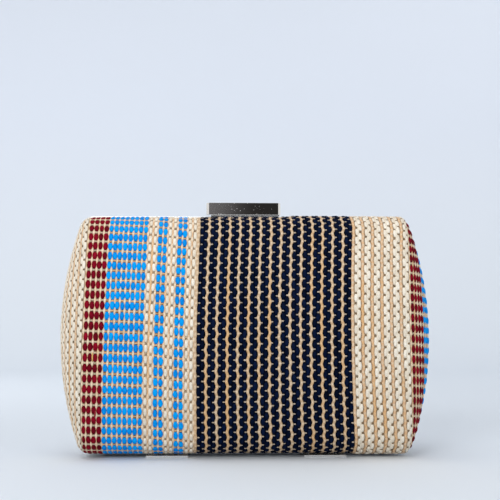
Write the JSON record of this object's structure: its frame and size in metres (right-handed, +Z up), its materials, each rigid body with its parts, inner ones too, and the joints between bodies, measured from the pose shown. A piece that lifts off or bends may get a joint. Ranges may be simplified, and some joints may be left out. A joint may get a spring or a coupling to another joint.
{
  "type": "raffia clutch",
  "caption": "Rigid barrel-shaped box clutch in striped woven raffia cloth, with a thin metal frame, base hinges and a polished bar clasp.",
  "frame": {"origin": "on the surface the clutch stands on, under its middle, in the plane where the two halves meet", "axes": "+X to the right in the front view, -Y out of the front face, +Z up"},
  "size_m": [0.1876, 0.052, 0.1277],
  "materials": {
    "raffia_cloth": "thick woven raffia, striped navy, cream, blue and burgundy",
    "polished_frame": "polished, fine wear at the edges",
    "polished_clasp": "mirror polished",
    "steel_pin": "satin"
  },
  "bodies": {
    "back_half": {"back_shell": "raffia_cloth", "back_rim": "polished_frame", "back_hinge_leaf_left": "polished_frame", "back_hinge_leaf_right": "polished_frame", "hinge_pin_left": "steel_pin", "hinge_pin_right": "steel_pin", "clasp_bracket": "polished_frame", "clasp_pin": "steel_pin"},
    "front_half": {"front_shell": "raffia_cloth", "front_rim": "polished_frame", "front_hinge_leaf_left": "polished_frame", "front_hinge_leaf_right": "polished_frame", "clasp_catch": "polished_frame"},
    "clasp": {"clasp_bar": "polished_clasp"}
  },
  "joints": [
    {"name": "front_opens", "type": "hinge", "parent": "back_half", "child": "front_half", "pos_m": [0, 0, 0.0013], "axis": [1, 0, 0], "range_deg": [0, 75]},
    {"name": "clasp_tips", "type": "hinge", "parent": "back_half", "child": "clasp", "pos_m": [0, 0.003, 0.1244], "axis": [-1, 0, 0], "range_deg": [0, 45]}
  ]
}
